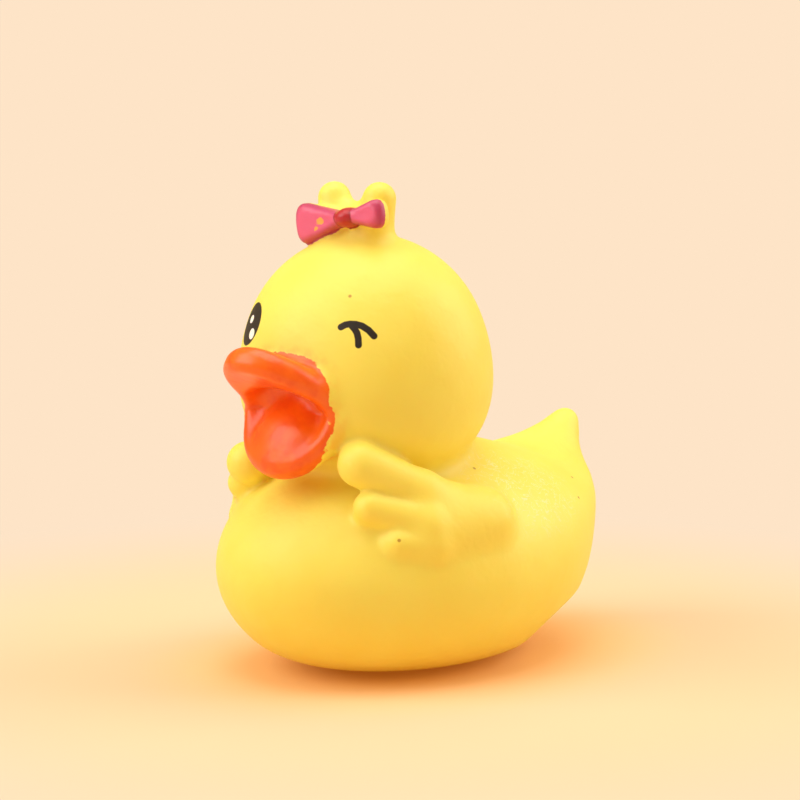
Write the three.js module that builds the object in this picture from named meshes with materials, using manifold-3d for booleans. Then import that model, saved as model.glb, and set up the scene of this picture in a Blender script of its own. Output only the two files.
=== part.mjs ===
// A bath duck, cast hollow in one piece of soft vinyl.
// The bill is wide open, the wings are held forward, and a bow sits in front of a tuft on the head.
// X runs across the duck with its left side at +X, Y runs from the bill (-Y) to the tail, and Z is up.
// All sizes are in millimetres and all angles in degrees. The foot stands on Z = 0.

import * as THREE from 'three';
import { ConvexGeometry } from 'three/addons/geometries/ConvexGeometry.js';
import { mergeVertices } from 'three/addons/utils/BufferGeometryUtils.js';
import Module from 'manifold-3d';

const wasm = await Module();
wasm.setup();

// Wall of the casting and the hole in its foot.
const WALL = 1.8;
const VENT_RADIUS = 5.0;
const VENT_FORWARD = 6.0;

// Body: an egg that stands on a flat foot, with a small flat at each rear corner.
const BODY_HALF_WIDTH = 24.15;
const BODY_HALF_LENGTH = 31.6;
const BODY_HALF_HEIGHT = 18.45;
const FOOT_CUT = 3.2;
const FOOT_EDGE = 3.0;
const REAR_FLAT_DEPTH = 0.7;
const REAR_FLAT_TURN = 26.3;
const REAR_FLAT_TILT = 44.2;

// Rump and tail: a broad flat egg that tilts up to a cone with a small nub.
// They are placed from the middle of the body: how far back and up.
const RUMP_HALF_WIDTH = 18.8;
const RUMP_HALF_LENGTH = 26.8;
const RUMP_HALF_HEIGHT = 8.8;
const RUMP_TILT = 16;
const RUMP = { back: 10.8, up: 2.6 };
const TAIL_ROOT = { back: 30.2, up: 8.2, radius: 6.6 };
const TAIL_TOP = { back: 36.7, up: 14.8, radius: 3.0 };
const TAIL_NUB = { back: 38.4, up: 16.6, radius: 2.0 };

// Head: a ball that is widest at the cheeks, sunk into the top of the body.
const HEAD_HALF_WIDTH = 18.8;
const HEAD_HALF_DEPTH = 17.3;
const HEAD_HALF_HEIGHT = 17.9;
const HEAD_FORWARD = 8.8;
const CHEEK_DROP = 3.0;
const NECK_OVERLAP = 6.0;
const NECK_BORE_HALF_WIDTH = 10.5;
const NECK_BORE_HALF_DEPTH = 11.5;

// Bill: two scooped jaws that open from one line between the corners of the mouth.
const JAW_HALF_WIDTH = 8.6;
const JAW_THICKNESS = 4.0;
const JAW_LIP = 1.0;
const SCOOP_DEPTH = 1.2;
const SCOOP_MARGIN = 2.4;
const UPPER_JAW_LENGTH = 13.4;
const UPPER_JAW_LIFT = 46;
const LOWER_JAW_LENGTH = 10.2;
const LOWER_JAW_DROP = 48;
const HINGE_DROP = 7.3;
const HINGE_SINK = 1.5;
const GAPE_HALF_WIDTH = 7.2;
const THROAT_HALF_WIDTH = 5.8;
const THROAT_DEPTH = 3.6;
const TONGUE_HALF_WIDTH = 4.2;
const TONGUE_HALF_LENGTH = 4.6;
const TONGUE_HEIGHT = 2.2;
const TONGUE_FORWARD = 3.0;

// Wings: a palm sunk into the flank, whose three feathers reach forward and curl in towards the chest.
// A knuckle or a tip is placed from the wing's root: how far in, forward and up.
const WING_ROOT_FORWARD = 4.6;
const WING_ROOT_UP = 4.6;
const WING_ROOT_SINK = 2.5;
const WING_ROOT_RADIUS = 4.2;
const KNUCKLES = [
  { in: 2.0, forward: 13.5, up: 9.3, radius: 3.6 },
  { in: 0.6, forward: 13.6, up: 5.0, radius: 3.2 },
  { in: 0.0, forward: 12.0, up: 1.3, radius: 2.9 },
];
const TIPS = [
  { in: 7.5, forward: 18.6, up: 12.2, radius: 3.1 },
  { in: 5.0, forward: 19.0, up: 6.7, radius: 2.3 },
  { in: 2.8, forward: 18.0, up: 1.7, radius: 2.1 },
];

// Tuft: two round lobes on a common foot, placed from the top of the head.
const TUFT_FORWARD = 1.5;
const TUFT_SINK = 2.5;
const TUFT_FOOT_SPREAD = 3.0;
const TUFT_FOOT_RADIUS = 3.1;
const TUFT_LOBE_SPREAD = 4.9;
const TUFT_LOBE_UP = 5.0;
const TUFT_LOBE_RADIUS = 2.1;

// Bow: a knot between two fans, on the front of the tuft and a little lower on the duck's right.
const BOW_UP = 2.3;
const BOW_ROLL = 7;
const BOW_DEPTH = 3.0;
const BOW_SINK = 1.2;
const KNOT_HALF_WIDTH = 1.8;
const KNOT_HALF_HEIGHT = 1.5;
const KNOT_PROUD = 0.5;
const FAN_NECK = 2.0;
const FAN_CURVE = 2.2;
const LEFT_FAN = { length: 7.4, height: 4.2 };
const RIGHT_FAN = { length: 8.6, height: 5.6 };

// How finely round shapes are divided.
const BIG_ROUND = 24;
const MIDDLE_ROUND = 14;
const SMALL_ROUND = 8;
const OUTLINE_STEPS = 5;
const WELD = 1e-4;

const radians = THREE.MathUtils.degToRad;

// A closed mesh as a solid that can be joined and cut.
function solid(geometry) {
  geometry.deleteAttribute('normal');
  geometry.deleteAttribute('uv');
  const merged = mergeVertices(geometry, WELD);
  const corners = merged.index.array;
  const triangles = [];
  for (let i = 0; i < corners.length; i += 3) {
    const [a, b, c] = corners.slice(i, i + 3);
    if (a !== b && b !== c && c !== a) {
      triangles.push(a, b, c);
    }
  }
  return new wasm.Manifold(new wasm.Mesh({
    numProp: 3,
    vertProperties: new Float32Array(merged.attributes.position.array),
    triVerts: new Uint32Array(triangles),
  }));
}

function joined(solids) {
  return solids.reduce((whole, next) => whole.add(next));
}

function ellipsoidGeometry(halfWidth, halfLength, halfHeight, around) {
  const geometry = new THREE.SphereGeometry(1, around, Math.ceil(around / 2));
  geometry.rotateX(Math.PI / 2);
  return geometry.scale(halfWidth, halfLength, halfHeight);
}

// An upright round shape turned from its outline, then drawn out along Y.
function turned(outline, stretch, around) {
  const profile = outline.getPoints(OUTLINE_STEPS);
  profile[0].x = 0;
  profile[profile.length - 1].x = 0;
  const geometry = new THREE.LatheGeometry(profile, around);
  geometry.rotateX(Math.PI / 2);
  return geometry.scale(1, stretch, 1);
}

// A ball drawn out into a second ball: a feather, a lobe of the tuft or the tail.
function drawnBall(from, to, fromRadius, toRadius, around) {
  const length = from.distanceTo(to);
  const lean = Math.asin((fromRadius - toRadius) / length);
  const outline = new THREE.Path();
  outline.absarc(0, 0, fromRadius, -Math.PI / 2, lean, false);
  outline.absarc(0, length, toRadius, lean, Math.PI / 2, false);
  const profile = outline.getPoints(Math.round(around / 6));
  profile[0].x = 0;
  profile[profile.length - 1].x = 0;
  const geometry = new THREE.LatheGeometry(profile, around);
  const along = to.clone().sub(from).normalize();
  geometry.applyQuaternion(new THREE.Quaternion().setFromUnitVectors(new THREE.Vector3(0, 1, 0), along));
  return solid(geometry.translate(from.x, from.y, from.z));
}

// Places that several features share.
const bodyCentre = new THREE.Vector3(0, 0, BODY_HALF_HEIGHT - FOOT_CUT);
const bodyTop = bodyCentre.z + BODY_HALF_HEIGHT;
const headCentre = new THREE.Vector3(0, -HEAD_FORWARD, bodyTop + HEAD_HALF_HEIGHT - NECK_OVERLAP);
const headTop = headCentre.z + HEAD_HALF_HEIGHT;
const face = headCentre.y - HEAD_HALF_DEPTH;
const hinge = new THREE.Vector3(0, face + HINGE_SINK, headCentre.z - HINGE_DROP);
const tuftCentre = new THREE.Vector3(0, headCentre.y - TUFT_FORWARD, headTop - TUFT_SINK);

// The body's egg with its flat bottom at the given height, made smaller all round by the given skin.
function egg(skin, bottom, around) {
  const halfWidth = BODY_HALF_WIDTH - skin;
  const halfHeight = BODY_HALF_HEIGHT - skin;
  const footAngle = Math.asin((bottom - bodyCentre.z) / halfHeight);
  const footRadius = halfWidth * Math.cos(footAngle);
  const joinAngle = footAngle + FOOT_EDGE / halfHeight;
  const joinRadius = halfWidth * Math.cos(joinAngle);
  const joinHeight = bodyCentre.z + halfHeight * Math.sin(joinAngle);
  const outline = new THREE.Path();
  outline.moveTo(0, bottom);
  outline.lineTo(footRadius - FOOT_EDGE, bottom);
  outline.quadraticCurveTo(footRadius, bottom, joinRadius, joinHeight);
  outline.absellipse(0, bodyCentre.z, halfWidth, halfHeight, joinAngle, Math.PI / 2, false, 0);
  return solid(turned(outline, (BODY_HALF_LENGTH - skin) / halfWidth, around));
}

function headBall(skin, around) {
  const halfWidth = HEAD_HALF_WIDTH - skin;
  const below = HEAD_HALF_HEIGHT - CHEEK_DROP - skin;
  const above = HEAD_HALF_HEIGHT + CHEEK_DROP - skin;
  const outline = new THREE.Path();
  outline.absellipse(0, 0, halfWidth, below, -Math.PI / 2, 0, false, 0);
  outline.absellipse(0, 0, halfWidth, above, 0, Math.PI / 2, false, 0);
  const geometry = turned(outline, (HEAD_HALF_DEPTH - skin) / halfWidth, around);
  return solid(geometry.translate(headCentre.x, headCentre.y, headCentre.z - CHEEK_DROP));
}

function fromBody({ back, up }) {
  return new THREE.Vector3(0, bodyCentre.y + back, bodyCentre.z + up);
}

function rump(skin, around) {
  const geometry = ellipsoidGeometry(
    RUMP_HALF_WIDTH - skin, RUMP_HALF_LENGTH - skin, RUMP_HALF_HEIGHT - skin, around,
  );
  geometry.rotateX(radians(RUMP_TILT));
  const place = fromBody(RUMP);
  return solid(geometry.translate(place.x, place.y, place.z));
}

function tail(skin) {
  const rootRadius = TAIL_ROOT.radius - skin;
  return drawnBall(fromBody(TAIL_ROOT), fromBody(TAIL_TOP), rootRadius, TAIL_TOP.radius - skin, MIDDLE_ROUND);
}

function tailNub() {
  return drawnBall(fromBody(TAIL_TOP), fromBody(TAIL_NUB), TAIL_NUB.radius, TAIL_NUB.radius, SMALL_ROUND);
}

// A slab whose inner face is the flat at one rear corner of the body.
function rearCorner(side) {
  const turn = radians(REAR_FLAT_TURN);
  const tilt = radians(REAR_FLAT_TILT);
  const level = Math.cos(tilt);
  const outward = new THREE.Vector3(side * Math.cos(turn) * level, Math.sin(turn) * level, -Math.sin(tilt));
  const halves = new THREE.Vector3(BODY_HALF_WIDTH, BODY_HALF_LENGTH, BODY_HALF_HEIGHT);
  const reach = outward.clone().multiply(halves).length() - REAR_FLAT_DEPTH;
  const slab = new THREE.BoxGeometry(BODY_HALF_WIDTH, BODY_HALF_WIDTH, BODY_HALF_WIDTH);
  slab.translate(0, 0, BODY_HALF_WIDTH / 2);
  slab.applyQuaternion(new THREE.Quaternion().setFromUnitVectors(new THREE.Vector3(0, 0, 1), outward));
  const place = bodyCentre.clone().addScaledVector(outward, reach);
  return solid(slab.translate(place.x, place.y, place.z));
}

// The smooth web that wraps the balls of a wing's root and knuckles.
function palm(balls) {
  const points = [];
  for (const { centre, radius } of balls) {
    const ball = new THREE.SphereGeometry(radius, SMALL_ROUND, SMALL_ROUND / 2);
    const surface = ball.attributes.position;
    for (let i = 0; i < surface.count; i += 1) {
      points.push(new THREE.Vector3().fromBufferAttribute(surface, i).add(centre));
    }
  }
  return solid(new ConvexGeometry(points));
}

function wing(side) {
  const y = WING_ROOT_FORWARD / BODY_HALF_LENGTH;
  const z = WING_ROOT_UP / BODY_HALF_HEIGHT;
  const flank = BODY_HALF_WIDTH * Math.sqrt(1 - y * y - z * z);
  const rootX = flank - WING_ROOT_SINK;
  const ball = (place) => ({
    centre: new THREE.Vector3(
      side * (rootX - place.in),
      bodyCentre.y - WING_ROOT_FORWARD - place.forward,
      bodyCentre.z + WING_ROOT_UP + place.up,
    ),
    radius: place.radius,
  });
  const root = ball({ in: 0, forward: 0, up: 0, radius: WING_ROOT_RADIUS });
  const knuckles = KNUCKLES.map(ball);
  const feathers = TIPS.map(ball).map((tip, i) => drawnBall(
    knuckles[i].centre, tip.centre, knuckles[i].radius, tip.radius, SMALL_ROUND,
  ));
  return joined([palm([root, ...knuckles]), ...feathers]);
}

// One jaw, made level with its scooped side to the mouth, then swung about the hinge.
// A positive lift is the upper jaw and a negative lift the lower one.
function jaw(length, lift) {
  const up = Math.sign(lift);
  const shell = solid(ellipsoidGeometry(JAW_HALF_WIDTH, length, JAW_THICKNESS, MIDDLE_ROUND));
  const trim = new THREE.BoxGeometry(4 * JAW_HALF_WIDTH, 4 * length, JAW_THICKNESS);
  trim.translate(0, 0, -up * (JAW_LIP + JAW_THICKNESS / 2));
  const scoop = ellipsoidGeometry(
    JAW_HALF_WIDTH - SCOOP_MARGIN, length - SCOOP_MARGIN, SCOOP_DEPTH, MIDDLE_ROUND,
  );
  scoop.translate(0, 0, -up * JAW_LIP);
  return shell.subtract(solid(trim)).subtract(solid(scoop)).rotate([-lift, 0, 0]).translate(hinge.toArray());
}

// The wedge of air between the jaws, which is cut out of the face.
function gape() {
  const reach = UPPER_JAW_LENGTH;
  const wedge = new THREE.Shape();
  wedge.moveTo(0, 0);
  wedge.lineTo(reach, -reach * Math.tan(radians(LOWER_JAW_DROP)));
  wedge.lineTo(reach, reach * Math.tan(radians(UPPER_JAW_LIFT)));
  wedge.closePath();
  const geometry = new THREE.ExtrudeGeometry(wedge, { depth: 2 * GAPE_HALF_WIDTH, bevelEnabled: false });
  geometry.translate(0, 0, -GAPE_HALF_WIDTH);
  geometry.applyMatrix4(new THREE.Matrix4().makeBasis(
    new THREE.Vector3(0, -1, 0), new THREE.Vector3(0, 0, 1), new THREE.Vector3(-1, 0, 0),
  ));
  return solid(geometry.translate(hinge.x, hinge.y, hinge.z));
}

function throat(skin) {
  const depth = THROAT_DEPTH + skin;
  const geometry = ellipsoidGeometry(THROAT_HALF_WIDTH + skin, depth, depth, MIDDLE_ROUND);
  return solid(geometry.translate(hinge.x, hinge.y, hinge.z));
}

function tongue() {
  const drop = radians(LOWER_JAW_DROP);
  const forward = new THREE.Vector3(0, -Math.cos(drop), -Math.sin(drop));
  const place = hinge.clone().addScaledVector(forward, TONGUE_FORWARD);
  const geometry = ellipsoidGeometry(TONGUE_HALF_WIDTH, TONGUE_HALF_LENGTH, TONGUE_HEIGHT, SMALL_ROUND);
  geometry.rotateX(drop);
  return solid(geometry.translate(place.x, place.y, place.z));
}

function tuft() {
  const lobes = [1, -1].map((side) => drawnBall(
    tuftCentre.clone().setX(side * TUFT_FOOT_SPREAD),
    new THREE.Vector3(side * TUFT_LOBE_SPREAD, tuftCentre.y, headTop + TUFT_LOBE_UP),
    TUFT_FOOT_RADIUS, TUFT_LOBE_RADIUS, SMALL_ROUND,
  ));
  const foot = ellipsoidGeometry(
    TUFT_FOOT_SPREAD + TUFT_FOOT_RADIUS, TUFT_FOOT_RADIUS, TUFT_SINK + TUFT_LOBE_UP, SMALL_ROUND,
  );
  return joined([...lobes, solid(foot.translate(...tuftCentre.toArray()))]);
}

// One fan of the bow, drawn in its own plane from the knot towards +X.
function fan({ length, height }) {
  const flare = length - FAN_CURVE;
  const outline = new THREE.Shape();
  outline.moveTo(0, -FAN_NECK / 2);
  outline.quadraticCurveTo(flare / 2, -FAN_NECK / 2, flare, -height / 2);
  outline.bezierCurveTo(length, -height / 2, length, height / 2, flare, height / 2);
  outline.quadraticCurveTo(flare / 2, FAN_NECK / 2, 0, FAN_NECK / 2);
  outline.closePath();
  const geometry = new THREE.ExtrudeGeometry(outline, {
    depth: BOW_DEPTH, bevelEnabled: false, curveSegments: OUTLINE_STEPS,
  });
  return geometry.translate(0, 0, -BOW_DEPTH / 2);
}

function bow() {
  const knot = ellipsoidGeometry(KNOT_HALF_WIDTH, KNOT_HALF_HEIGHT, BOW_DEPTH / 2 + KNOT_PROUD, SMALL_ROUND);
  const pieces = [fan(LEFT_FAN), fan(RIGHT_FAN).rotateY(Math.PI), knot];
  const frontOfTuft = tuftCentre.y - TUFT_FOOT_RADIUS;
  return joined(pieces.map(solid))
    .rotate([0, 0, BOW_ROLL])
    .rotate([90, 0, 0])
    .translate([0, frontOfTuft + BOW_SINK - BOW_DEPTH / 2, headTop + BOW_UP]);
}

// The space inside the casting, which keeps one wall from the outside and from the mouth.
function hollow() {
  const bore = ellipsoidGeometry(NECK_BORE_HALF_WIDTH, NECK_BORE_HALF_DEPTH, 2 * NECK_OVERLAP, MIDDLE_ROUND);
  bore.translate(headCentre.x, headCentre.y, bodyTop - NECK_OVERLAP / 2);
  const space = joined([
    egg(WALL, WALL, MIDDLE_ROUND),
    rump(WALL, MIDDLE_ROUND),
    tail(WALL),
    headBall(WALL, MIDDLE_ROUND),
    solid(bore),
  ]);
  return space.subtract(throat(WALL)).subtract(gape().translate([0, WALL, 0]));
}

function vent() {
  const drill = new THREE.CylinderGeometry(VENT_RADIUS, VENT_RADIUS, 4 * WALL, MIDDLE_ROUND);
  drill.rotateX(Math.PI / 2);
  return solid(drill.translate(bodyCentre.x, bodyCentre.y - VENT_FORWARD, 0));
}

const body = joined([egg(0, 0, BIG_ROUND), rump(0, BIG_ROUND), tail(0), tailNub()])
  .subtract(rearCorner(1))
  .subtract(rearCorner(-1));
const bill = joined([jaw(UPPER_JAW_LENGTH, UPPER_JAW_LIFT), jaw(LOWER_JAW_LENGTH, -LOWER_JAW_DROP)]);
const head = headBall(0, BIG_ROUND).subtract(gape()).add(bill).subtract(throat(0)).add(tongue());
const casting = joined([body, wing(1), wing(-1), head, tuft(), bow()]).subtract(hollow()).subtract(vent());

// The finished casting as a mesh, with the origin under the middle of its length.
const { vertProperties, triVerts } = casting.getMesh();
const geometry = new THREE.BufferGeometry();
geometry.setAttribute('position', new THREE.BufferAttribute(vertProperties, 3));
geometry.setIndex(new THREE.BufferAttribute(triVerts, 1));
geometry.computeBoundingBox();
geometry.translate(0, -(geometry.boundingBox.min.y + geometry.boundingBox.max.y) / 2, 0);
geometry.computeVertexNormals();

const softVinyl = new THREE.MeshStandardMaterial({ color: '#f5dc57', roughness: 0.5, metalness: 0 });
const duck = new THREE.Mesh(geometry, softVinyl);
duck.name = 'duck';

const part = new THREE.Group();
part.add(duck);

export default part;
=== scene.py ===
import math

import bpy
import numpy as np
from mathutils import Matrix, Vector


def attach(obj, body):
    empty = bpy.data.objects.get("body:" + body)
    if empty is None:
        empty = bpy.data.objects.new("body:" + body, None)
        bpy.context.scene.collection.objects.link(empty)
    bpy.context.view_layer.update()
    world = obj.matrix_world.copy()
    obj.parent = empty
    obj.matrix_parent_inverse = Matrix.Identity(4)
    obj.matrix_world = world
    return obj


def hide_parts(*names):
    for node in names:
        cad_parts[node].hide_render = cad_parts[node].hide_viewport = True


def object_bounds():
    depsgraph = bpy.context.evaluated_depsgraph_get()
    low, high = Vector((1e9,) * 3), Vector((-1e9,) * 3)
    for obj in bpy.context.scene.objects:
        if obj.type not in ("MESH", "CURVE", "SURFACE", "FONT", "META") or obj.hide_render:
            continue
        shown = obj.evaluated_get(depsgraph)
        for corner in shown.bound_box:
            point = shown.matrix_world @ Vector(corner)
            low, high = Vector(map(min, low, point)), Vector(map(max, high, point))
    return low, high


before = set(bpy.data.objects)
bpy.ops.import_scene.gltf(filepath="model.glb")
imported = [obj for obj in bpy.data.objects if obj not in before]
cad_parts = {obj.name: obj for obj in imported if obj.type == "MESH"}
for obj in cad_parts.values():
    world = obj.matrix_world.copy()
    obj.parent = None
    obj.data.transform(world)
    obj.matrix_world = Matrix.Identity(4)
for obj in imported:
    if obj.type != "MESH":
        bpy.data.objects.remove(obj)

import openvdb
from mathutils import Matrix, Vector

cad_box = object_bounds()


# The body: the broad hollow belly of a bath duck, cast in soft yellow vinyl in one piece with all the rest.
# It runs back into a flat rump and a small upturned tail, and it stands on a flat foot. Each shape function
# says how far points, in millimetres, lie outside the shape. The belly's middle is at x = 0 and y = 0.
def turned(points, centre, tip=0.0, roll=0.0):
    """The points as seen from a piece at centre that is tipped about X and rolled about Y, in degrees."""
    seen = points - np.array(centre, np.float32)
    for degrees, (i, j) in ((roll, (2, 0)), (tip, (1, 2))):
        c, s = math.cos(math.radians(degrees)), math.sin(math.radians(degrees))
        a, b = seen[:, i].copy(), seen[:, j].copy()
        seen[:, i], seen[:, j] = c * a + s * b, c * b - s * a
    return seen


def ball(points, centre, radii, tip=0.0):
    seen = turned(points, centre, tip)
    radii = np.array(radii, np.float32)
    near = np.linalg.norm(seen / radii, axis=1)
    slope = np.linalg.norm(seen / (radii * radii), axis=1)
    return near * (near - 1) / np.maximum(slope, 1e-6)


def drawn_ball(points, start, end, start_radius, end_radius):
    """A ball drawn out along a straight line until it is another ball."""
    start, end = np.array(start, np.float32), np.array(end, np.float32)
    length = float(np.linalg.norm(end - start))
    along = (points - start) @ ((end - start) / length)
    out = np.sqrt(np.maximum(((points - start) ** 2).sum(1) - along * along, 0))
    taper = (start_radius - end_radius) / length
    straight = math.sqrt(1 - taper * taper)
    place = straight * along - taper * out
    side = straight * out + taper * along - start_radius
    side = np.where(place < 0, np.hypot(out, along) - start_radius, side)
    return np.where(place > straight * length, np.hypot(out, along - length) - end_radius, side)


def blend(a, b, width):
    """Two shapes joined, with the crease between them filled over that width."""
    near = np.maximum(width - np.abs(a - b), 0) / width
    return np.minimum(a, b) - near * near * width / 4


def carve(a, b, width):
    """The first shape without the second, with the edge between them rounded over that width."""
    return -blend(-a, b, width)


def keep(a, b, width):
    """What two shapes share, with the edge between them rounded over that width."""
    return -blend(-a, -b, width)


BELLY_MIDDLE, BELLY = (0, 0, 15.24), (24.16, 31.6, 18.43)
RUMP_MIDDLE, RUMP, RUMP_TIP = (0, 10.8, 17.83), (18.43, 26.53, 7.75), 16
TAIL_ROOT, TAIL_TOP, TAIL_RADII = (0, 30.2, 23.4), (0, 36.7, 30.0), (6.2, 3.0)
NUB_ROOT, NUB_TOP, NUB_RADII = (0, 35.2, 28.0), (0, 38.4, 31.9), (2.4, 2.0)
BODY_FILLET, NUB_FILLET = 6, 1.5
REAR_FLAT_FACING, REAR_FLAT_OUT, REAR_FLAT_EDGE = (0.6433, 0.3178, -0.6966), 11.05, 0.5
FOOT_SINK, FOOT_ROUNDING, FOOT_EDGE = 0.45, 5.2, 0.3


def body(points):
    shape = ball(points, BELLY_MIDDLE, BELLY)
    shape = blend(shape, ball(points, RUMP_MIDDLE, RUMP, RUMP_TIP), BODY_FILLET)
    shape = blend(shape, drawn_ball(points, TAIL_ROOT, TAIL_TOP, *TAIL_RADII), BODY_FILLET)
    shape = blend(shape, drawn_ball(points, NUB_ROOT, NUB_TOP, *NUB_RADII), NUB_FILLET)
    shape = keep(shape, -points[:, 2] - FOOT_SINK, FOOT_ROUNDING)
    shape = keep(shape, -points[:, 2], FOOT_EDGE)
    both_sides = points * np.sign(points[:, :1]) * (1, 0, 0) + points * (0, 1, 1)
    flats = both_sides @ np.array(REAR_FLAT_FACING, np.float32) - REAR_FLAT_OUT
    return keep(shape, flats, REAR_FLAT_EDGE)


# The head: a round ball with full cheeks, cast on top of the body and set a little forward of its middle.
# The wall curves straight into the body, with only a narrow crease at the neck.
HEAD_MIDDLE, HEAD = (0, -8.83, 45.57), (18.45, 17.02, 17.89)
CHEEK_MIDDLE, CHEEKS, CHEEK_FILLET = (0, -8.83, 39.85), (17.0, 16.0, 12.5), 6


def head(points):
    return blend(ball(points, HEAD_MIDDLE, HEAD), ball(points, CHEEK_MIDDLE, CHEEKS), CHEEK_FILLET)


# The bill: an upper and a lower jaw held wide open, cast with the head as two thick shallow scoops.
# The throat behind them is a blind hollow, and a round tongue lies on the lower jaw.
# All of it is sprayed orange.
HINGE = (0, -23.7, 39.1)
UPPER_LIFT, LOWER_DROP = 32, 58
UPPER_JAW, LOWER_JAW = (8.8, 13.2), (9.2, 9.9)
JAW_HALF_THICKNESS, LIP_RADIUS, LIP_INWARD, VAULT = 2.0, 1.7, 0.6, 1.2
GAPE_HALF_WIDTH, GAPE_EDGE, JAW_FILLET = 7.2, 1.5, 2.0
THROAT_MIDDLE, THROAT, THROAT_EDGE = (0, -25.6, 39.1), (6.2, 2.2, 4.2), 2.0
TONGUE_MIDDLE, TONGUE, TONGUE_FILLET = (0, -3.2, -0.2), (4.6, 4.6, 1.9), 2.2
BILL_FOOT_UP, BILL_FOOT = 38.6, (8.9, 9.0)
FACE_FRONT = -25.6
PAINT_PAST_UPPER, PAINT_PAST_LOWER, PAINT_PAST_MOUTH = 1.4, 0.3, 0.3


def rounded(outline, face, edge):
    """A flat piece of that outline and thickness, with its edges rounded."""
    outline, face = outline + edge, face + edge
    corner = np.hypot(np.maximum(outline, 0), np.maximum(face, 0))
    return np.minimum(np.maximum(outline, face), 0) + corner - edge


def jaw(seen, half_width, length, up):
    """One jaw, seen from the hinge along its inner face: up is 1 for the upper jaw and -1 for the lower."""
    across, along = seen[:, 0] / half_width, seen[:, 1] / length
    near = np.hypot(across, along)
    outline = near * (near - 1) / np.maximum(np.hypot(across / half_width, along / length), 1e-3)
    middle = JAW_HALF_THICKNESS - LIP_INWARD + VAULT * (1 - np.minimum(near, 1) ** 2)
    return rounded(outline, np.abs(up * seen[:, 2] - middle) - JAW_HALF_THICKNESS, LIP_RADIUS)


def jaws(points):
    upper = jaw(turned(points, HINGE, -UPPER_LIFT), *UPPER_JAW, 1)
    return upper, jaw(turned(points, HINGE, LOWER_DROP), *LOWER_JAW, -1)


def mouth_air(points):
    """The wedge of air between the jaws, and the throat behind it."""
    above = turned(points, HINGE, -UPPER_LIFT)[:, 2]
    below = turned(points, HINGE, LOWER_DROP)[:, 2]
    gape = np.maximum(np.maximum(above, -below), np.abs(points[:, 0]) - GAPE_HALF_WIDTH)
    return gape, ball(points, THROAT_MIDDLE, THROAT)


def head_with_bill(points):
    gape, throat = mouth_air(points)
    shape = carve(head(points), gape, GAPE_EDGE)
    shape = blend(shape, np.minimum(*jaws(points)), JAW_FILLET)
    shape = carve(shape, throat, THROAT_EDGE)
    tongue = ball(turned(points, HINGE, LOWER_DROP), TONGUE_MIDDLE, TONGUE)
    return blend(shape, tongue, TONGUE_FILLET)


def bill_paint(points):
    """How far points lie outside the spray mask of the bill."""
    gape, throat = mouth_air(points)
    upper, lower = jaws(points)
    jaw_paint = np.minimum(upper - PAINT_PAST_UPPER, lower - PAINT_PAST_LOWER)
    jaw_paint = np.minimum(jaw_paint, np.minimum(gape, throat) - PAINT_PAST_MOUTH)
    across, up = points[:, 0] / BILL_FOOT[0], (points[:, 2] - BILL_FOOT_UP) / BILL_FOOT[1]
    foot = (np.hypot(across, up) - 1) * BILL_FOOT[0]
    return np.maximum(jaw_paint, np.minimum(foot, points[:, 1] - FACE_FRONT))


# The wings: two stubby arms cast solid with the body and held up to the bill, the right one a little lower.
# Each is a broad palm that ends in three rounded feathers, the top one the largest, with short creases
# between them. A knuckle or a tip is its place and then its radius.
WING_ROOT, WING_ROOT_RADIUS = (18.4, -5.2, 22.8), 4.0
LEFT_KNUCKLES = ((15.9, -14.8, 27.9, 3.1), (18.0, -15.8, 24.0, 2.7), (18.8, -15.4, 20.9, 2.5))
LEFT_TIPS = ((11.4, -22.2, 32.2, 3.2), (13.2, -22.0, 26.3, 2.5), (16.4, -19.8, 21.6, 2.3))
RIGHT_KNUCKLES = ((15.7, -14.0, 27.0, 3.1), (18.0, -14.0, 24.0, 2.7), (19.5, -13.8, 20.3, 2.6))
RIGHT_TIPS = ((10.9, -22.1, 30.4, 3.1), (13.6, -20.3, 27.0, 2.4), (15.6, -17.5, 20.8, 2.4))
PALM_FILLET, TOP_CREASE, LOWER_CREASE, FEATHER_FILLET, WING_FILLET = 3.2, 0.7, 0.8, 1.2, 1.4


def wing(shape, points, side, knuckles, tips):
    """The shape with one wing on it: side is 1 for the duck's left and -1 for its right."""
    seen = points * np.array((side, 1, 1), np.float32)
    arms = [drawn_ball(seen, WING_ROOT, at[:3], WING_ROOT_RADIUS, at[3]) for at in knuckles]
    palm = blend(blend(arms[0], arms[1], PALM_FILLET), arms[2], PALM_FILLET)
    feathers = [drawn_ball(seen, at[:3], tip[:3], at[3], tip[3]) for at, tip in zip(knuckles, tips)]
    feathers = blend(blend(feathers[0], feathers[1], TOP_CREASE), feathers[2], LOWER_CREASE)
    return blend(shape, blend(palm, feathers, FEATHER_FILLET), WING_FILLET)


# The tuft: two stubby lobes of feathers cast on the crown.
# They share one foot, so only the tops stand apart.
TUFT_ASIDE, TUFT_FOOT, TUFT_LOBE = -0.3, (2.4, -10.3, 61.5), (4.4, -10.3, 68.4)
TUFT_RADII, TUFT_FILLET = (3.3, 2.4), 2.0
TUFT_BASE_MIDDLE, TUFT_BASE = (0, -10.3, 61.0), (5.6, 3.0, 7.0)


def tuft(points):
    seen = points - np.array((TUFT_ASIDE, 0, 0), np.float32)
    both_sides = np.abs(seen * (1, 0, 0)) + seen * (0, 1, 1)
    lobes = drawn_ball(both_sides, TUFT_FOOT, TUFT_LOBE, *TUFT_RADII)
    return blend(lobes, ball(seen, TUFT_BASE_MIDDLE, TUFT_BASE), TUFT_FILLET)


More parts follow.
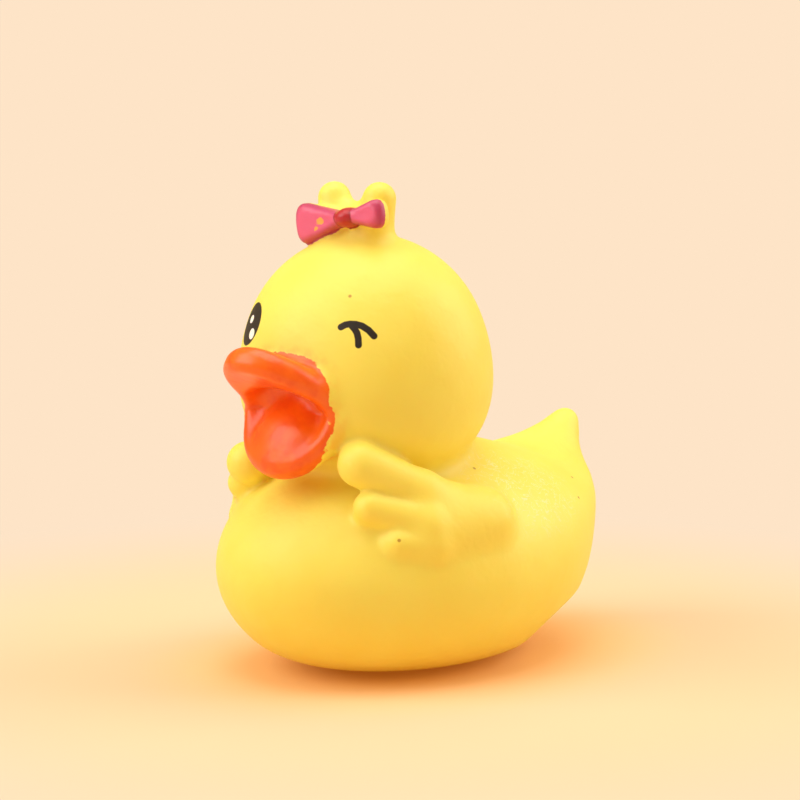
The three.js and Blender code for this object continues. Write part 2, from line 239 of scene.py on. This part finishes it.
# The bow: two flat fans and a round knot, moulded on the front of the tuft and rolled a little.
# The fans are sprayed pink and the knot red, and the sprays are worn at the edges.
BOW_MIDDLE, BOW_ROLL = (1.7, -13.6, 65.8), -7
LEFT_FAN, RIGHT_FAN = (6.5, 5.0), (10.2, 6.9)
FAN_NECK, FAN_HALF_THICKNESS, FAN_EDGE, FAN_CORNER, FAN_BULGE = 0.7, 1.5, 1.1, 1.7, 0.07
KNOT_MIDDLE, KNOT = (0, -0.4, 0), (2.0, 2.2, 1.45)
FOLDS = ((1.6, 0.4, 3.4, 0.9), (1.6, -0.3, 3.0, -0.6), (-1.6, 0.3, -3.8, 0.9), (-1.6, -0.4, -4.0, -1.3))
FOLD_FRONT, FOLD_RADII = (-1.35, -1.1), (0.5, 0.35)
PINK_BACK = 0.2


def fan(seen, length, height):
    """One fan of the bow, seen with X away from the knot, Y through it and Z up."""
    flare = (height / 2 - FAN_NECK) / length
    out, up = seen[:, 0], np.abs(seen[:, 2])
    side = (up - FAN_NECK - flare * np.maximum(out, 0)) / math.hypot(1, flare)
    outline = np.maximum(keep(side, out - length + FAN_BULGE * up * up, FAN_CORNER), -out)
    return rounded(outline, np.abs(seen[:, 1]) - FAN_HALF_THICKNESS, FAN_EDGE), outline


def fans(points):
    seen = turned(points, BOW_MIDDLE, roll=BOW_ROLL)
    left, left_outline = fan(seen, *LEFT_FAN)
    right, right_outline = fan(seen * (-1, 1, 1), *RIGHT_FAN)
    return np.minimum(left, right), np.minimum(left_outline, right_outline)


def folds(points):
    """The gathers that run out from the knot over the front of each fan."""
    seen = turned(points, BOW_MIDDLE, roll=BOW_ROLL)
    near, far = FOLD_FRONT
    ridges = [drawn_ball(seen, (x, near, z), (x + reach, far, z + rise), *FOLD_RADII)
              for x, z, reach, rise in FOLDS]
    return np.min(ridges, axis=0)


def knot(points):
    return ball(turned(points, BOW_MIDDLE, roll=BOW_ROLL), KNOT_MIDDLE, KNOT)


def bow_paint(points):
    """How far points lie outside the pink spray, which only reaches the front half of the bow."""
    front = turned(points, BOW_MIDDLE, roll=BOW_ROLL)[:, 1] + PINK_BACK
    return np.maximum(np.minimum(fans(points)[0], folds(points)), front)


def bow_rim(points):
    """How far points lie outside the outline of the fans, as seen from the front."""
    return fans(points)[1]


# The casting: all the shapes above in one skin, with a wall of soft vinyl round an empty inside.
# A round vent in the foot lets the air out when the duck is squeezed. Nothing is fixed on: it is one piece.
WALL, VENT_RADIUS, VENT_FORWARD = 1.8, 5.0, 6.0
VENT_DEPTH = 3 * WALL
NECK_FILLET, TUFT_SEAT, BOW_SEAT, KNOT_SEAT, HOLLOW_FILLET = 3.0, 1.6, 0.5, 0.4, 1.0
SKIN_GRID = 0.5
HOLLOW_GRID = 1.4
SKIN_LOW, SKIN_HIGH = (-28, -38, -3), (28, 43, 74)
HOLLOW_LOW, HOLLOW_HIGH = (-28, -38, -6), (28, 43, 70)
MM = 0.001
tail_end = NUB_TOP[1] + NUB_RADII[1]
belly_y = cad_box[1][1] / MM - tail_end


def casting(points):
    shape = blend(body(points), head_with_bill(points), NECK_FILLET)
    shape = wing(shape, points, 1, LEFT_KNUCKLES, LEFT_TIPS)
    shape = wing(shape, points, -1, RIGHT_KNUCKLES, RIGHT_TIPS)
    shape = blend(shape, tuft(points), TUFT_SEAT)
    shape = blend(shape, fans(points)[0], BOW_SEAT)
    shape = blend(shape, folds(points), BOW_SEAT)
    return blend(shape, knot(points), KNOT_SEAT)


def hollow(points):
    """The air inside the casting, with the vent that opens it through the foot."""
    gape, throat = mouth_air(points)
    inside = blend(body(points), head(points), NECK_FILLET) + WALL
    inside = carve(inside, np.minimum(gape, throat) - WALL, HOLLOW_FILLET)
    drill = np.hypot(points[:, 0], points[:, 1] + VENT_FORWARD) - VENT_RADIUS
    return np.minimum(inside, np.maximum(drill, points[:, 2] - VENT_DEPTH))


def skin_of(shape, grid, low, high, name):
    """A closed mesh of a shape, in metres in the part's frame, with its points drawn onto the surface."""
    counts = [int((b - a) / grid) + 2 for a, b in zip(low, high)]
    x, y, z = (a + grid * np.arange(n, dtype=np.float32) for a, n in zip(low, counts))
    side, up = (m.ravel().astype(np.float32) for m in np.meshgrid(y, z, indexing="ij"))
    slices = [shape(np.column_stack((np.full(len(side), v, np.float32), side, up))) for v in x]
    reach = 3 * grid
    field = openvdb.FloatGrid(background=reach)
    field.copyFromArray(np.clip(np.reshape(slices, counts), -reach, reach).astype(np.float32))
    points, quads = field.convertToQuads()
    points = (points * grid + np.array(low)).astype(np.float32)
    step, least_slope = 0.05, 0.2
    for _ in range(3):
        out = np.clip(shape(points), -grid, grid)
        slope = np.column_stack([shape(points + d) - shape(points - d)
                                 for d in np.eye(3, dtype=np.float32) * step]) / (2 * step)
        steepness = np.maximum((slope**2).sum(1), least_slope)
        points = points - out[:, None] * slope / steepness[:, None]
    mesh = bpy.data.meshes.new(name)
    placed = (points + np.array((0, belly_y, 0))) * MM
    mesh.from_pydata(placed.tolist(), [], quads.tolist())
    mesh.polygons.foreach_set("use_smooth", np.ones(len(quads), bool))
    made = bpy.data.objects.new(name, mesh)
    bpy.context.scene.collection.objects.link(made)
    return made


duck = skin_of(casting, SKIN_GRID, SKIN_LOW, SKIN_HIGH, "duck_casting")
inside = skin_of(hollow, HOLLOW_GRID, HOLLOW_LOW, HOLLOW_HIGH, "hollow")
emptied = duck.modifiers.new("hollow", "BOOLEAN")
emptied.operation = "DIFFERENCE"
emptied.solver = "MANIFOLD"
emptied.object = inside
whole = bpy.data.meshes.new_from_object(duck.evaluated_get(bpy.context.evaluated_depsgraph_get()))
duck.modifiers.remove(emptied)
duck.data = whole
whole.name = "duck_casting"
bpy.data.objects.remove(inside)

places = np.zeros(len(whole.vertices) * 3, np.float32)
whole.vertices.foreach_get("co", places)
places = places.reshape(-1, 3) / MM - np.array((0, belly_y, 0), np.float32)
sprays = {"bill_edge": bill_paint, "bow_edge": bow_paint, "knot_edge": knot, "bow_rim": bow_rim}
for name, paint in sprays.items():
    attribute = whole.attributes.new(name, "FLOAT", "POINT")
    attribute.data.foreach_set("value", paint(places).astype(np.float32))


# The finish: soft plasticised vinyl, rotary cast, with a satin skin and a faint moulded grain, that glows a
# little where light gets into it. Bill, bow, knot and eyes are sprayed on through masks, with ragged edges.
# The pink is chipped, the left flank is rubbed, and a few dark specks are caught in the skin. The pink
# and the red are darker towards their edges, as painted shade.
VINYL, VINYL_DEEPER, PAINT_MIST = "#FAE968", "#F9E45F", "#FF9A2A"
ORANGE, ORANGE_DEEPER = "#FA6E0C", "#F15E08"
# The second pink is painted shade: it darkens the fans towards their outlines.
PINK, PINK_PAINTED_SHADE, CHIP = "#E26390", "#B63561", "#F0AE55"
# The second red is painted shade: it darkens the knot round its edge, where it meets the fans.
RED, RED_PAINTED_SHADE = "#D62C36", "#9E1A2C"
BLACK, EYE_WHITE, SPECK, SCUFF = "#1C120E", "#FFFDF6", "#C09A3C", "#FFF8D2"
CLOUD_MM, FLECK_MM, SPRAY_MM, DUST_MM, GRAIN_MM, SCUFF_MM = 14, 0.9, 3.0, 2.5, 0.5, 2.6
CLOUDY, PATCHY = {1: 0.35, 2: 0.65}, {1: 0.4, 2: 0.65}
SPRAY_MASKS = (("bill_edge", 0.0, 1.0), ("bow_edge", 0.28, 0.4), ("knot_edge", 0.2, 0.3))
SPRAY_RAGGED, SPRAY_SOFT, MIST_REACH, MIST_MOST = 0.45, 0.08, 1.8, 0.35
BOW_SHADE_WIDTH, BOW_SHADE_MOST, KNOT_SHADE_EDGE = 1.1, 0.85, {1: -0.25, 2: 0.2}


def colour(text):
    """An sRGB hex colour as linear RGBA."""
    parts = [int(text[i:i + 2], 16) / 255 for i in (1, 3, 5)]
    return [c / 12.92 if c <= 0.04045 else ((c + 0.055) / 1.055) ** 2.4 for c in parts] + [1]


def node(tree, kind, inputs=None, out=0, **settings):
    """Adds a shader node with its settings, sets or links its inputs, and gives one of its outputs."""
    made = tree.nodes.new("ShaderNode" + kind)
    for name, value in settings.items():
        setattr(made, name, value)
    for socket, value in (inputs or {}).items():
        if isinstance(value, bpy.types.NodeSocket):
            tree.links.new(value, made.inputs[socket])
        else:
            made.inputs[socket].default_value = value
    return made.outputs[out] if made.outputs else None


soft_vinyl = bpy.data.materials.new("soft_vinyl_with_sprayed_paint")
soft_vinyl.use_nodes = True
tree = soft_vinyl.node_tree
tree.nodes.clear()
place = node(tree, "TexCoord", out="Object")
SMOOTH = {"interpolation_type": "SMOOTHSTEP"}

flecks = node(tree, "TexNoise", {"Vector": place, "Scale": 1 / (FLECK_MM * MM), "Detail": 3})
ragged = node(tree, "MapRange", {0: flecks, 3: -SPRAY_RAGGED, 4: SPRAY_RAGGED})
edges, covers = {}, {}
for name, margin, wander in SPRAY_MASKS:
    edges[name] = node(tree, "Attribute", out="Fac", attribute_name=name)
    worn = node(tree, "Math", {0: ragged, 1: wander, 2: edges[name]}, operation="MULTIPLY_ADD")
    cover_edge = {1: margin + SPRAY_SOFT, 2: margin - SPRAY_SOFT}
    covers[name] = node(tree, "MapRange", {0: worn, **cover_edge}, **SMOOTH)

clouds = node(tree, "TexNoise", {"Vector": place, "Scale": 1 / (CLOUD_MM * MM), "Detail": 2})
clouds = node(tree, "MapRange", {0: clouds, **CLOUDY}, **SMOOTH)
surface = node(tree, "Mix", {0: clouds, 6: colour(VINYL), 7: colour(VINYL_DEEPER)}, 2, data_type="RGBA")

dust = node(tree, "TexNoise", {"Vector": place, "Scale": 1 / (DUST_MM * MM), "Detail": 2})
dust = node(tree, "MapRange", {0: dust, **PATCHY, 4: MIST_MOST}, **SMOOTH)
near_bill = node(tree, "MapRange", {0: edges["bill_edge"], 1: MIST_REACH, 2: 0.0}, **SMOOTH)
mist = node(tree, "Math", {0: dust, 1: near_bill}, operation="MULTIPLY")

spray = node(tree, "TexNoise", {"Vector": place, "Scale": 1 / (SPRAY_MM * MM), "Detail": 2})
spray = node(tree, "MapRange", {0: spray, **PATCHY}, **SMOOTH)
orange = node(tree, "Mix", {0: spray, 6: colour(ORANGE), 7: colour(ORANGE_DEEPER)}, 2, data_type="RGBA")
# Painted shade: the pink darkens towards the outline of each fan, where its rounded edge turns from the
# light.
fan_painted_shade = node(tree, "Attribute", out="Fac", attribute_name="bow_rim")
fan_painted_shade = node(tree, "MapRange", {0: fan_painted_shade, 1: -BOW_SHADE_WIDTH, 2: 0.0, 4: BOW_SHADE_MOST}, **SMOOTH)
pink = node(tree, "Mix", {0: fan_painted_shade, 6: colour(PINK), 7: colour(PINK_PAINTED_SHADE)}, 2, data_type="RGBA")
# Painted shade: the red darkens round the edge of the knot, in the crease where it meets the fans.
knot_painted_shade = node(tree, "MapRange", {0: edges["knot_edge"], **KNOT_SHADE_EDGE}, **SMOOTH)
red = node(tree, "Mix", {0: knot_painted_shade, 6: colour(RED), 7: colour(RED_PAINTED_SHADE)}, 2, data_type="RGBA")


def paint_frame(middle, turn):
    """Points in millimetres as seen from the middle of a painted mark that is turned that way."""
    where = Vector((middle[0], middle[1] + belly_y, middle[2])) * MM
    inputs = {"Vector": place, "Location": where, "Rotation": turn, "Scale": (MM, MM, MM)}
    return node(tree, "Mapping", inputs, vector_type="TEXTURE")


def face_turn(middle):
    """How a mark lies on the head there: X to its right, Y up and Z out of the skin."""
    out = Vector((m - h) / r**2 for m, h, r in zip(middle, HEAD_MIDDLE, HEAD)).normalized()
    right = Vector((0, 0, 1)).cross(out).normalized()
    return Matrix((right, out.cross(right), out)).transposed().to_euler()


def oval(seen, middle, half_sizes, soft=0.03):
    """Full inside an oval patch and nothing outside it, with an edge that is soft over that share of it."""
    away = node(tree, "VectorMath", {0: seen, 1: middle}, operation="SUBTRACT")
    away = node(tree, "VectorMath", {0: away, 1: half_sizes}, operation="DIVIDE")
    far = node(tree, "VectorMath", {0: away}, 1, operation="LENGTH")
    return node(tree, "MapRange", {0: far, 1: 1 + soft, 2: 1 - soft}, **SMOOTH)


EYE_MIDDLE, WINK_MIDDLE = (-9.9, -22.1, 50.2), (10.6, -22.0, 50.4)
EYE_OFFSET, EYE = (0.6, 0.35), (3.5, 3.25)
UPPER_GLINT_OFFSET, UPPER_GLINT = (0.4, 1.0), (0.8, 0.62)
LOWER_GLINT_OFFSET, LOWER_GLINT = (2.3, -1.0), (0.95, 0.8)
MARK_DEPTH = 8
eye = paint_frame(EYE_MIDDLE, face_turn(EYE_MIDDLE))
eyeball = oval(eye, (*EYE_OFFSET, 0), (*EYE, MARK_DEPTH))
upper_glint = oval(eye, (*UPPER_GLINT_OFFSET, 0), (*UPPER_GLINT, MARK_DEPTH))
lower_glint = oval(eye, (*LOWER_GLINT_OFFSET, 0), (*LOWER_GLINT, MARK_DEPTH))

LASH = ((-2.25, 0.8), (-1.65, 1.12), (-1.0, 1.23), (-0.2, 1.2), (0.69, 0.96), (1.6, 0.4), (2.39, -0.41))
LID = ((-0.71, 0.94), (-0.3, 0.5), (0.03, -0.04), (0.24, -0.8), (0.31, -1.72))
WINK_HALF_WIDTH, WINK_SOFT = 0.48, 0.06
wink_frame = paint_frame(WINK_MIDDLE, face_turn(WINK_MIDDLE))
flatten = (1, 1, WINK_HALF_WIDTH / MARK_DEPTH)
flat = node(tree, "VectorMath", {0: wink_frame, 1: flatten}, operation="MULTIPLY")
nearest = 100.0
for start, end in (*zip(LASH, LASH[1:]), *zip(LID, LID[1:])):
    along = Vector((end[0] - start[0], end[1] - start[1], 0))
    per_length = along / along.length_squared
    from_start = node(tree, "VectorMath", {0: flat, 1: (*start, 0)}, operation="SUBTRACT")
    share = node(tree, "VectorMath", {0: from_start, 1: per_length}, 1, operation="DOT_PRODUCT")
    share = node(tree, "Clamp", {0: share})
    foot = node(tree, "VectorMath", {0: along, "Scale": share}, operation="SCALE")
    away = node(tree, "VectorMath", {0: from_start, 1: foot}, 1, operation="DISTANCE")
    nearest = node(tree, "Math", {0: away, 1: nearest}, operation="MINIMUM")
wink_edge = {1: WINK_HALF_WIDTH + WINK_SOFT, 2: WINK_HALF_WIDTH - WINK_SOFT}
wink = node(tree, "MapRange", {0: nearest, **wink_edge}, **SMOOTH)

CHIP_MIDDLE, CHIP_HALF = (-4.7, -2, 0.0), (0.8, 2, 0.5)
CHIP_SPECK_MIDDLE, CHIP_SPECK_HALF, CHIP_SOFT = (-5.6, -2, -0.95), (0.35, 2, 0.3), 0.15
bow = paint_frame(BOW_MIDDLE, (0, math.radians(BOW_ROLL), 0))
wandering = node(tree, "VectorMath", {0: (1, 0, 1), "Scale": ragged}, operation="SCALE")
bow = node(tree, "VectorMath", {0: bow, 1: wandering}, operation="ADD")
chip = oval(bow, CHIP_MIDDLE, CHIP_HALF, CHIP_SOFT)
chip_speck = oval(bow, CHIP_SPECK_MIDDLE, CHIP_SPECK_HALF, CHIP_SOFT)

RUB_MIDDLE, RUB, RUB_SOFT = (17.5, 6.0, 26.5), (8.5, 11.0, 6.5), 0.45
SCUFF_LEVEL, SCUFF_WIDTH, SCUFF_SHOWS = 0.5, 0.012, 0.5
rubbed = oval(paint_frame(RUB_MIDDLE, (0, 0, 0)), (0, 0, 0), RUB, RUB_SOFT)
scuff_pattern = {"Vector": place, "Scale": 1 / (SCUFF_MM * MM), "Detail": 5, "Distortion": 1.8}
scuffs = node(tree, "TexNoise", scuff_pattern)
scuffs = node(tree, "Math", {0: scuffs, 1: SCUFF_LEVEL, 2: SCUFF_WIDTH}, operation="COMPARE")
scuffs = node(tree, "Math", {0: scuffs, 1: rubbed}, operation="MULTIPLY")
faint_scuffs = node(tree, "Math", {0: scuffs, 1: SCUFF_SHOWS}, operation="MULTIPLY")

layers = [(mist, colour(PAINT_MIST)), (faint_scuffs, colour(SCUFF)), (covers["bill_edge"], orange),
          (covers["bow_edge"], pink), (chip, colour(CHIP)), (chip_speck, colour(CHIP)),
          (covers["knot_edge"], red), (eyeball, colour(BLACK)), (upper_glint, colour(EYE_WHITE)),
          (lower_glint, colour(EYE_WHITE)), (wink, colour(BLACK))]
SPECKS = ((8.24, -20.83, 55.43), (14.91, -1.58, 29.72), (14.31, 21.76, 25.92), (18.03, 18.44, 23.63),
          (18.3, -22.0, 22.6))
SPECK_HALF, SPECK_SOFT = 0.24, 0.4
for at in SPECKS:
    on_skin = places[np.argmin(((places - np.array(at)) ** 2).sum(1))].tolist()
    fleck = oval(paint_frame(on_skin, (0, 0, 0)), (0, 0, 0), (SPECK_HALF,) * 3, SPECK_SOFT)
    layers.append((fleck, colour(SPECK)))
for cover, paint in layers:
    surface = node(tree, "Mix", {0: cover, 6: surface, 7: paint}, 2, data_type="RGBA")

VINYL_ROUGH, PAINT_ROUGH, FULL_GLOSS, RUB_GLOSS, DUST_GLOSS = 0.5, 0.32, 1.2, 0.5, 0.5
SPRAY_RELIEF, SCUFF_RELIEF, GRAIN_STRENGTH, GRAIN_DEPTH_MM = 2.0, -3.0, 0.25, 0.06
VINYL_IOR, GLOW_SHARE, GLOW_COLOURS, GLOW_DEPTH_MM = 1.5, 0.25, (1.0, 0.55, 0.15), 2.5
gloss = node(tree, "Math", {0: covers["bow_edge"], 1: covers["knot_edge"]}, operation="MAXIMUM")
gloss = node(tree, "Math", {0: covers["bill_edge"], 1: gloss}, operation="MAXIMUM")
gloss = node(tree, "Math", {0: rubbed, 1: RUB_GLOSS, 2: gloss}, operation="MULTIPLY_ADD")
gloss = node(tree, "Math", {0: dust, 1: DUST_GLOSS, 2: gloss}, operation="MULTIPLY_ADD")
rough = node(tree, "MapRange", {0: gloss, 2: FULL_GLOSS, 3: VINYL_ROUGH, 4: PAINT_ROUGH}, **SMOOTH)
grain = node(tree, "TexNoise", {"Vector": place, "Scale": 1 / (GRAIN_MM * MM), "Detail": 2})
grain = node(tree, "Math", {0: spray, 1: SPRAY_RELIEF, 2: grain}, operation="MULTIPLY_ADD")
grain = node(tree, "Math", {0: scuffs, 1: SCUFF_RELIEF, 2: grain}, operation="MULTIPLY_ADD")
bumps = {"Strength": GRAIN_STRENGTH, "Distance": GRAIN_DEPTH_MM * MM, "Height": grain}
relief = node(tree, "Bump", bumps)
vinyl = node(tree, "BsdfPrincipled", {
    "Base Color": surface, "Roughness": rough, "Normal": relief, "IOR": VINYL_IOR,
    "Subsurface Weight": GLOW_SHARE, "Subsurface Radius": GLOW_COLOURS,
    "Subsurface Scale": GLOW_DEPTH_MM * MM})
node(tree, "OutputMaterial", {"Surface": vinyl})
whole.materials.clear()
whole.materials.append(soft_vinyl)
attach(duck, "root")
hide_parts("duck")


# The table: a wide sheet of pale peach paper, plain and matt. Round the foot it carries painted light: a
# deeper warm colour and a faint emitted glow for the light bounced off the vinyl. Far from the duck it runs
# into a backdrop of the same colour.
PAPER, PAPER_WITH_PAINTED_BOUNCE, PAINTED_FOOT_GLOW, BACKDROP, ROOM = "#E2C8A4", "#F0C894", "#FF9A38", "#FEE4C7", "#FFD898"
FADE_START, FADE_END, FLOOR_HALF, ROOM_STRENGTH = 0.05, 0.13, 4.0, 0.5
PAINTED_GLOW_REACH, PAINTED_GLOW_START, PAINTED_GLOW_FULL, PAINTED_GLOW_STRENGTH = (0.027, 0.036, 1.0), 1.45, 0.7, 0.12
paper = bpy.data.materials.new("peach_paper")
paper.use_nodes = True
tree = paper.node_tree
tree.nodes.clear()
place = node(tree, "TexCoord", out="Object")
camera_ray = node(tree, "LightPath", out="Is Camera Ray")
glossy_ray = node(tree, "LightPath", out="Is Glossy Ray")
seen_ray = node(tree, "Math", {0: camera_ray, 1: glossy_ray}, operation="MAXIMUM")
distance = node(tree, "VectorMath", {0: place}, 1, operation="LENGTH")
far = node(tree, "MapRange", {0: distance, 1: FADE_START, 2: FADE_END}, **SMOOTH)
far = node(tree, "Math", {0: far, 1: seen_ray}, operation="MULTIPLY")
# Painted light: near the foot the paper turns a deeper warm colour and emits a faint orange glow, for
# bounce light.
painted_bounce_near_foot = node(tree, "VectorMath", {0: place, 1: PAINTED_GLOW_REACH}, operation="DIVIDE")
painted_bounce_near_foot = node(tree, "VectorMath", {0: painted_bounce_near_foot}, 1, operation="LENGTH")
painted_bounce_near_foot = node(tree, "MapRange", {0: painted_bounce_near_foot, 1: PAINTED_GLOW_START, 2: PAINTED_GLOW_FULL}, **SMOOTH)
painted_bounce_tint = node(tree, "Mix", {0: painted_bounce_near_foot, 6: colour(PAPER), 7: colour(PAPER_WITH_PAINTED_BOUNCE)}, 2, data_type="RGBA")
paper_with_painted_light = node(tree, "BsdfDiffuse", {"Color": painted_bounce_tint})
painted_glow = node(tree, "Math", {0: painted_bounce_near_foot, 1: PAINTED_GLOW_STRENGTH}, operation="MULTIPLY")
painted_glow = node(tree, "Emission", {"Color": colour(PAINTED_FOOT_GLOW), "Strength": painted_glow})
paper_with_painted_light = node(tree, "AddShader", {0: paper_with_painted_light, 1: painted_glow})
backdrop = node(tree, "Emission", {"Color": colour(BACKDROP), "Strength": 1.0})
sheet = node(tree, "MixShader", {0: far, 1: paper_with_painted_light, 2: backdrop})
node(tree, "OutputMaterial", {"Surface": sheet})
corners = [(x * FLOOR_HALF, y * FLOOR_HALF, 0) for x, y in ((-1, -1), (1, -1), (1, 1), (-1, 1))]
floor_mesh = bpy.data.meshes.new("paper_floor")
floor_mesh.from_pydata(corners, [], [(0, 1, 2, 3)])
floor_mesh.materials.append(paper)
floor = bpy.data.objects.new("paper_floor", floor_mesh)
bpy.context.scene.collection.objects.link(floor)

world = bpy.data.worlds.new("peach_room")
world.use_nodes = True
bpy.context.scene.world = world
tree = world.node_tree
tree.nodes.clear()
camera_ray = node(tree, "LightPath", out="Is Camera Ray")
room = node(tree, "Background", {"Color": colour(ROOM), "Strength": ROOM_STRENGTH})
seen_room = node(tree, "Background", {"Color": colour(BACKDROP), "Strength": 1.0})
both = node(tree, "MixShader", {0: camera_ray, 1: room, 2: seen_room})
node(tree, "OutputWorld", {"Surface": both})

# The camera: on the duck's left, a little above the floor, close enough that the duck fills half the frame.
# The lamps: a big soft box on each side of it and one overhead, at a plain level.
CAMERA_TURN, CAMERA_RISE, CAMERA_AWAY = math.radians(42), math.radians(6.5), 0.330
LENS, SENSOR, NEAREST_SEEN, LOOK_AT_MM = 102.4, 36, 0.01, (4.2, -9.18, 39.26)
look_at = Vector(LOOK_AT_MM) * MM
level = Vector((math.sin(CAMERA_TURN), -math.cos(CAMERA_TURN), 0))
back = math.cos(CAMERA_RISE) * level + Vector((0, 0, math.sin(CAMERA_RISE)))
right = Vector((math.cos(CAMERA_TURN), math.sin(CAMERA_TURN), 0))
turn = Matrix((right, back.cross(right), back)).transposed().to_4x4()
camera = bpy.data.cameras.new("camera")
camera.sensor_width = SENSOR
camera.lens = LENS
camera.clip_start = NEAREST_SEEN
camera_place = bpy.data.objects.new("camera", camera)
camera_place.matrix_world = Matrix.Translation(look_at + CAMERA_AWAY * back) @ turn
bpy.context.scene.collection.objects.link(camera_place)
bpy.context.scene.camera = camera_place

overhead = Vector((0, 0, 1))
for name, offset, size, watts in (("left", -0.5 * right + 0.15 * back + 0.32 * overhead, 0.5, 2.3),
                                  ("right", 0.55 * right - 0.1 * back + 0.32 * overhead, 0.5, 1.9),
                                  ("top", 0.6 * overhead, 0.6, 3.0)):
    lamp = bpy.data.lights.new(name + "_soft_box", "AREA")
    lamp.size = size
    lamp.energy = watts
    holder = bpy.data.objects.new(name + "_soft_box", lamp)
    holder.location = look_at + offset
    holder.rotation_euler = offset.to_track_quat("Z", "Y").to_euler()
    bpy.context.scene.collection.objects.link(holder)

bpy.context.scene.view_settings.view_transform = "Standard"
bpy.context.view_layer.update()
